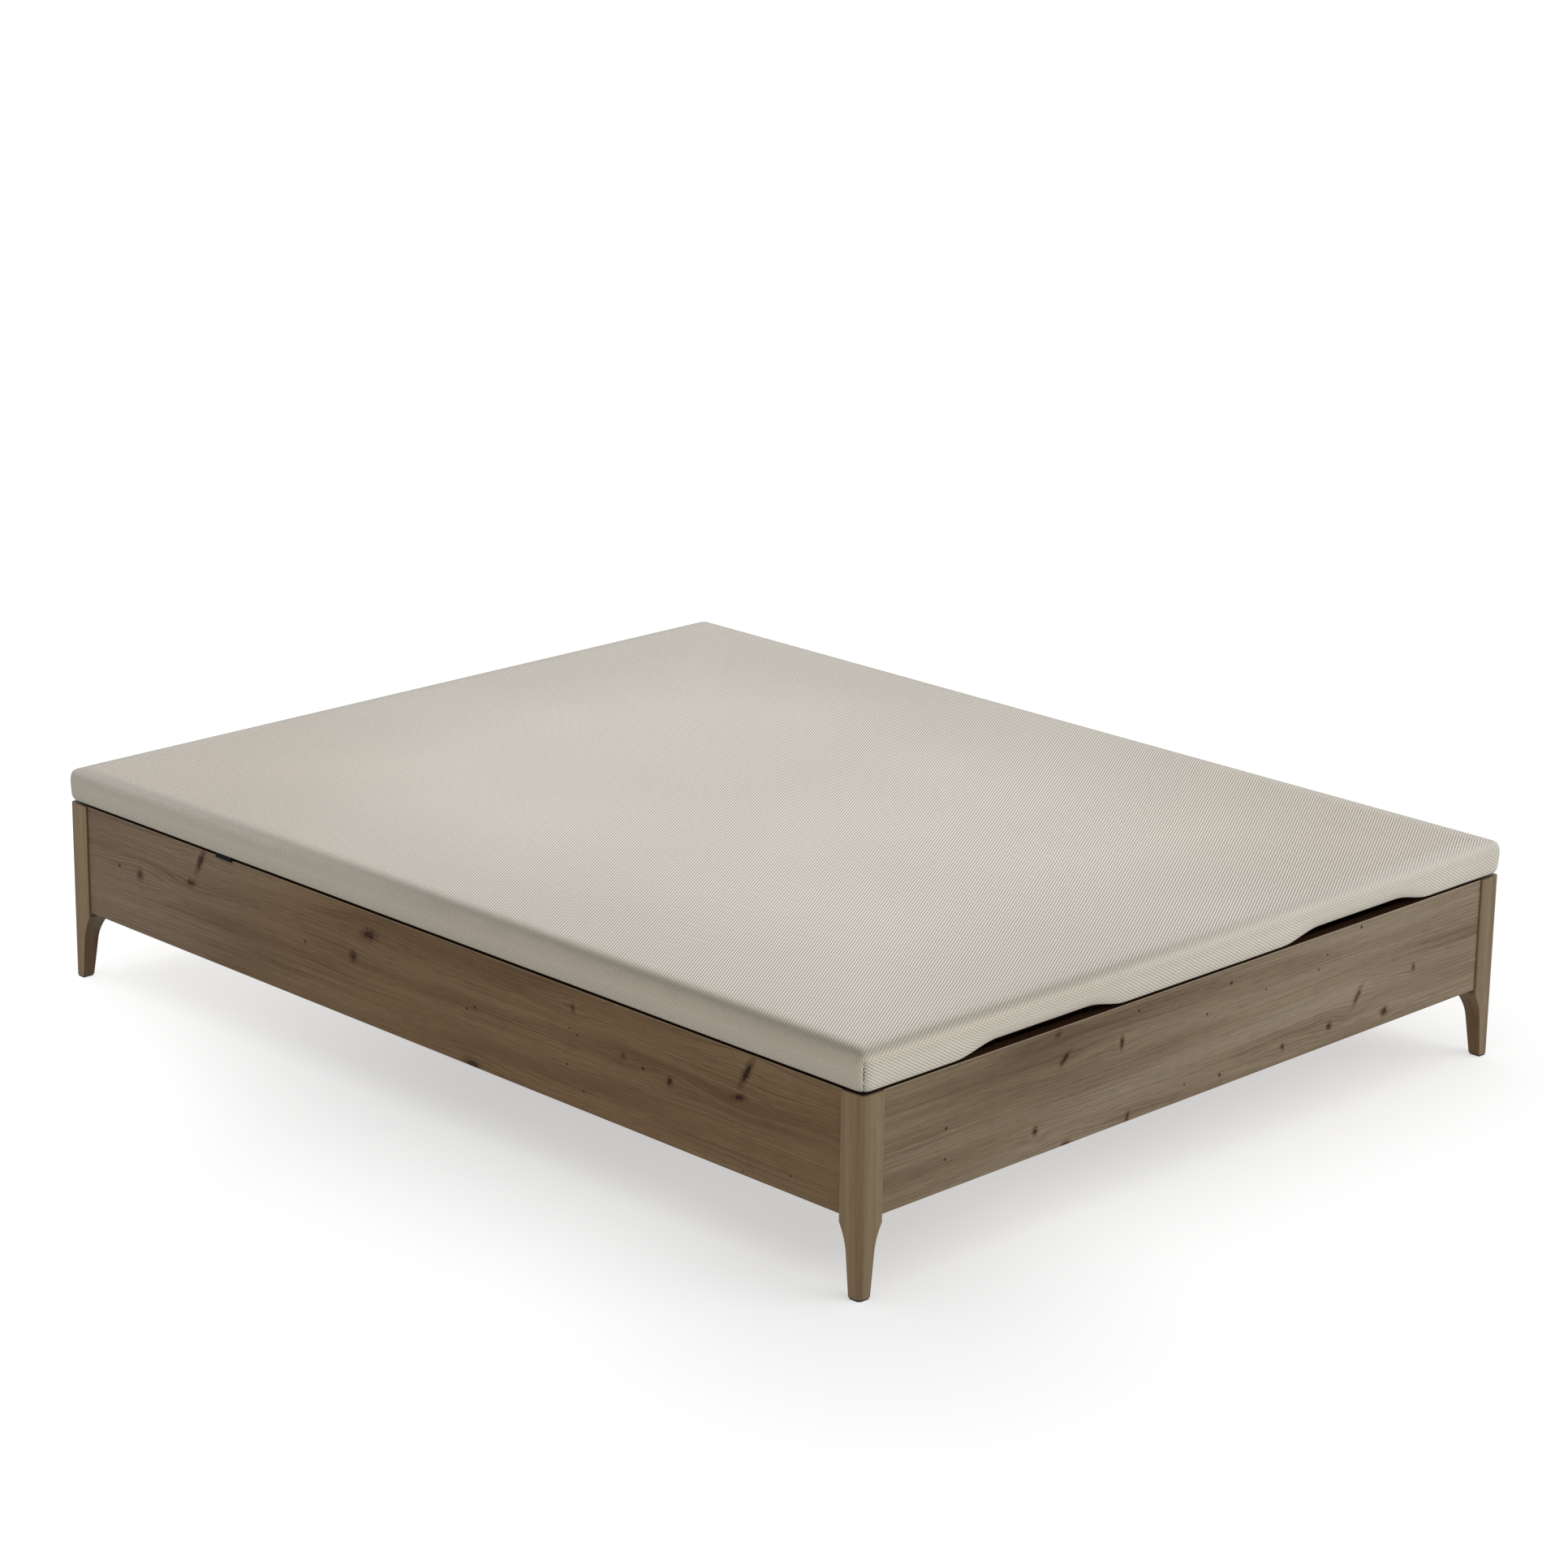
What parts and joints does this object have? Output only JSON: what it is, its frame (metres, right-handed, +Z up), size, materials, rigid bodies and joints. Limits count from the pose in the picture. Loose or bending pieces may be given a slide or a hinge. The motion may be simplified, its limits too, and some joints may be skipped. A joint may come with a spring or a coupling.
{
  "type": "storage bed base",
  "caption": "Low storage bed base: an oak-look panel box on tapered wooden legs, under a fabric-covered lid that lifts on gas struts from the foot end.",
  "frame": {"origin": "on the floor under the middle of the bed", "axes": "+X to the right seen from the foot end, +Y towards the head end, +Z up"},
  "size_m": [1.51, 1.91, 0.375],
  "materials": {
    "leg_wood": "satin lacquered beech",
    "oak_decor": "matt oak-decor laminate with grain along the panel",
    "floor_wood": "plain fibreboard",
    "rail_wood": "planed pine",
    "lid_fabric": "beige knitted spacer mesh",
    "black_steel": "black powder coat",
    "zinc_steel": "zinc plated",
    "strut_paint": "satin black paint",
    "strut_chrome": "polished rod",
    "black_plastic": "matt moulded",
    "black_rubber": "matt"
  },
  "bodies": {
    "box": {"beam_hangers": "black_steel", "centre_beam": "black_steel", "centre_glide": "black_plastic", "centre_leg": "black_steel", "corner_brackets": "zinc_steel", "floor_board_foot": "floor_wood", "floor_board_head": "floor_wood", "floor_board_middle": "floor_wood", "floor_ledge_foot": "rail_wood", "floor_ledge_head": "rail_wood", "floor_ledge_left": "rail_wood", "floor_ledge_right": "rail_wood", "foot_panel": "oak_decor", "head_panel": "oak_decor", "hinge_box_leaves": "zinc_steel", "hinge_pins": "zinc_steel", "leg_foot_left": "leg_wood", "leg_foot_right": "leg_wood", "leg_glides": "black_plastic", "leg_head_left": "leg_wood", "leg_head_right": "leg_wood", "lid_bumpers": "black_rubber", "side_panel_left": "oak_decor", "side_panel_right": "oak_decor", "strut_lower_pins": "zinc_steel", "strut_plate_left": "black_steel", "strut_plate_right": "black_steel"},
    "lid": {"cover_top": "lid_fabric", "cover_side_left": "lid_fabric", "cover_side_right": "lid_fabric", "cover_foot": "lid_fabric", "cover_head": "lid_fabric", "lid_rail_left": "rail_wood", "lid_rail_right": "rail_wood", "lid_rail_foot": "rail_wood", "lid_rail_head": "rail_wood", "lid_board": "floor_wood", "crossbar_1": "black_steel", "crossbar_2": "black_steel", "crossbar_3": "black_steel", "crossbar_4": "black_steel", "crossbar_sockets": "black_steel", "hinge_lid_leaves": "zinc_steel", "strut_bracket_left": "black_steel", "strut_bracket_right": "black_steel", "strut_upper_pins": "zinc_steel"},
    "cylinder_left": {"strut_cylinder_left": "strut_paint"},
    "cylinder_right": {"strut_cylinder_right": "strut_paint"},
    "rod_left": {"strut_rod_left": "strut_chrome", "strut_piston_left": "zinc_steel"},
    "rod_right": {"strut_rod_right": "strut_chrome", "strut_piston_right": "zinc_steel"}
  },
  "joints": [
    {"name": "lid_lift", "type": "hinge", "parent": "box", "child": "lid", "pos_m": [0, 0.9515, 0.3185], "axis": [-1, 0, 0], "range_deg": [0, 33]},
    {"name": "cylinder_swing_left", "type": "hinge", "parent": "box", "child": "cylinder_left", "pos_m": [-0.7, 0.78606, 0.166], "axis": [-1, 0, 0], "range_deg": [0, 16.5]},
    {"name": "rod_swing_left", "type": "hinge", "parent": "lid", "child": "rod_left", "pos_m": [-0.7, 0.72705, 0.3342], "axis": [-1, 0, 0], "range_deg": [-16.5, 0]},
    {"name": "cylinder_swing_right", "type": "hinge", "parent": "box", "child": "cylinder_right", "pos_m": [0.7, 0.78606, 0.166], "axis": [-1, 0, 0], "range_deg": [0, 16.5]},
    {"name": "rod_swing_right", "type": "hinge", "parent": "lid", "child": "rod_right", "pos_m": [0.7, 0.72705, 0.3342], "axis": [-1, 0, 0], "range_deg": [-16.5, 0]}
  ],
  "couplings": [
    {"joint": "cylinder_swing_left", "follows": "lid_lift", "ratio": 0.5},
    {"joint": "rod_swing_left", "follows": "lid_lift", "ratio": -0.5},
    {"joint": "cylinder_swing_right", "follows": "lid_lift", "ratio": 0.5},
    {"joint": "rod_swing_right", "follows": "lid_lift", "ratio": -0.5}
  ]
}
